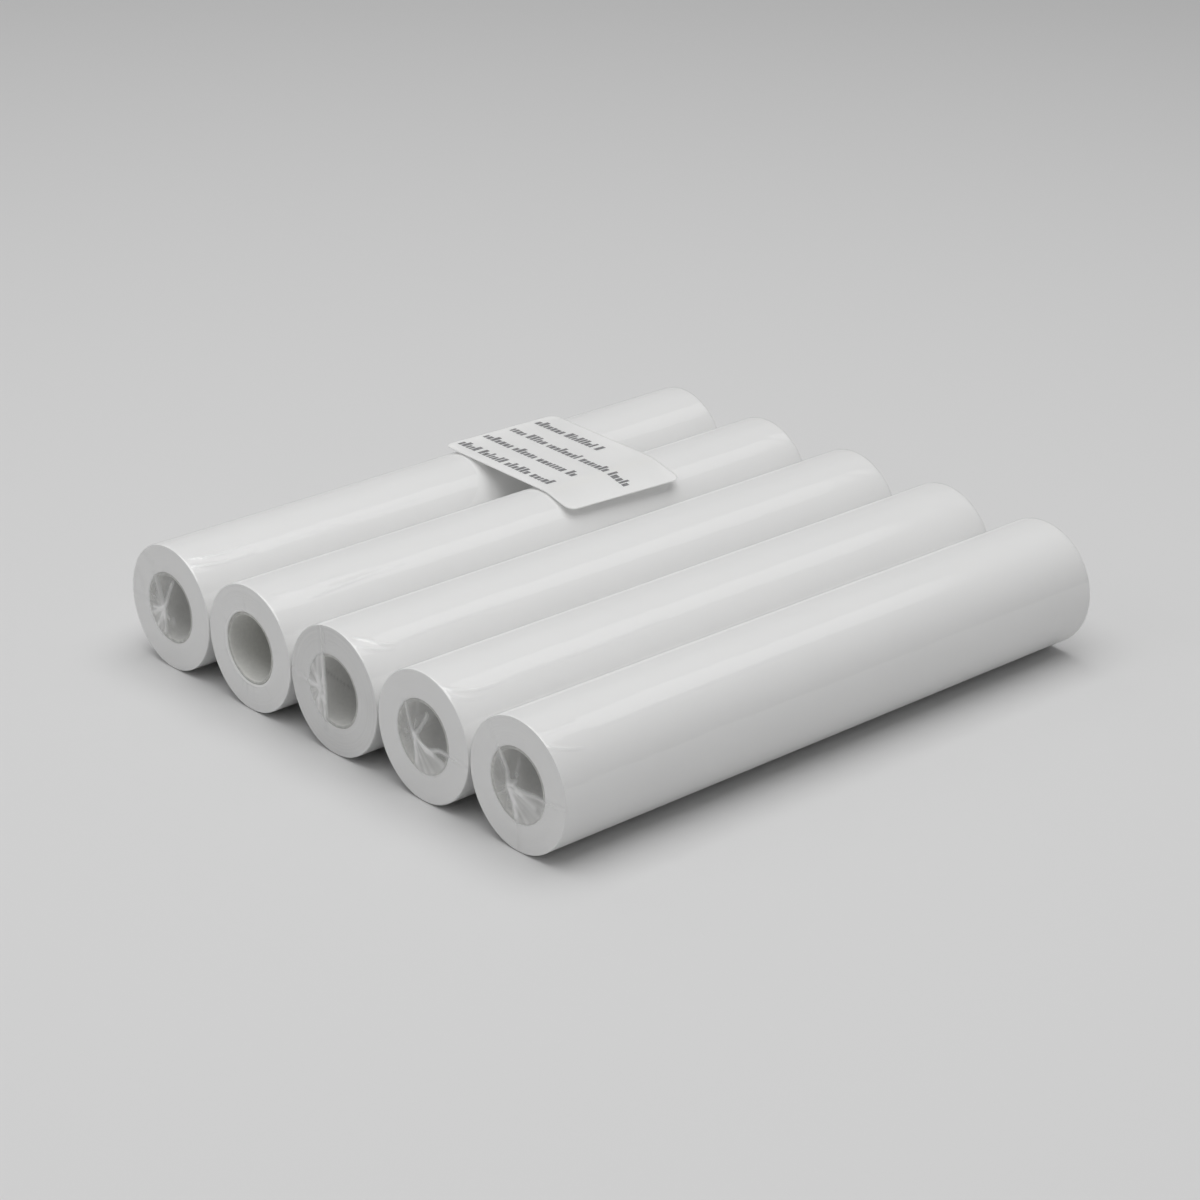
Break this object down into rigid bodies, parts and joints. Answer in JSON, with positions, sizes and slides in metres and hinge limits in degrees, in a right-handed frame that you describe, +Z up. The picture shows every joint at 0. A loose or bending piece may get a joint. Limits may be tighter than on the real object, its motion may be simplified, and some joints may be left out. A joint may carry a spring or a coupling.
{
  "type": "paper roll pack",
  "caption": "White paper rolls on paperboard cores, each shrink wrapped in clear film, lying side by side under a small card label.",
  "frame": {"origin": "centre of the pack's footprint, on the surface that the rolls lie on", "axes": "+Y along the rolls, away from the front ends; +X across the row from roll 1 to roll 5; +Z up"},
  "size_m": [0.1992, 0.2102, 0.0402],
  "materials": {
    "paperboard": "spiral-wound grey-buff board, matte",
    "paper": "smooth coated white paper, satin barrel and fine concentric layers on the ends",
    "tab_paper": "matte off-white gummed paper",
    "film": "clear glossy shrink film with fine creases",
    "gathered_film": "clear film gathered into milky radial creases",
    "adhesive": "translucent double-sided adhesive",
    "label_card": "bright white satin card with greeked grey rows in place of print"
  },
  "bodies": {
    "roll_2_and_label": {"core_2": "paperboard", "paper_winding_2": "paper", "tail_tab_2": "tab_paper", "film_sleeve_2": "film", "film_gather_2": "gathered_film", "label_adhesive": "adhesive", "label_base": "label_card"},
    "roll_1": {"core_1": "paperboard", "paper_winding_1": "paper", "tail_tab_1": "tab_paper", "film_sleeve_1": "film", "film_gather_1": "gathered_film"},
    "roll_3": {"core_3": "paperboard", "paper_winding_3": "paper", "tail_tab_3": "tab_paper", "film_sleeve_3": "film", "film_gather_3": "gathered_film"},
    "roll_4": {"core_4": "paperboard", "paper_winding_4": "paper", "tail_tab_4": "tab_paper", "film_sleeve_4": "film", "film_gather_4": "gathered_film"},
    "roll_5": {"core_5": "paperboard", "paper_winding_5": "paper", "tail_tab_5": "tab_paper", "film_sleeve_5": "film", "film_gather_5": "gathered_film"},
    "label_flap": {"label_flap": "label_card"}
  },
  "joints": [
    {"name": "roll_1_pull", "type": "slide", "parent": "roll_2_and_label", "child": "roll_1", "axis": [0, -1, 0], "range_m": [-0.22, 0.22]},
    {"name": "roll_3_pull", "type": "slide", "parent": "roll_2_and_label", "child": "roll_3", "axis": [0, -1, 0], "range_m": [-0.22, 0.22]},
    {"name": "roll_4_pull", "type": "slide", "parent": "roll_2_and_label", "child": "roll_4", "axis": [0, -1, 0], "range_m": [-0.22, 0.22]},
    {"name": "roll_5_pull", "type": "slide", "parent": "roll_2_and_label", "child": "roll_5", "axis": [0, -1, 0], "range_m": [-0.22, 0.22]},
    {"name": "label_flap_lift", "type": "hinge", "parent": "roll_2_and_label", "child": "label_flap", "pos_m": [-0.0399, 0.0307, 0.04015], "axis": [0, 1, 0], "range_deg": [0, 90]}
  ]
}
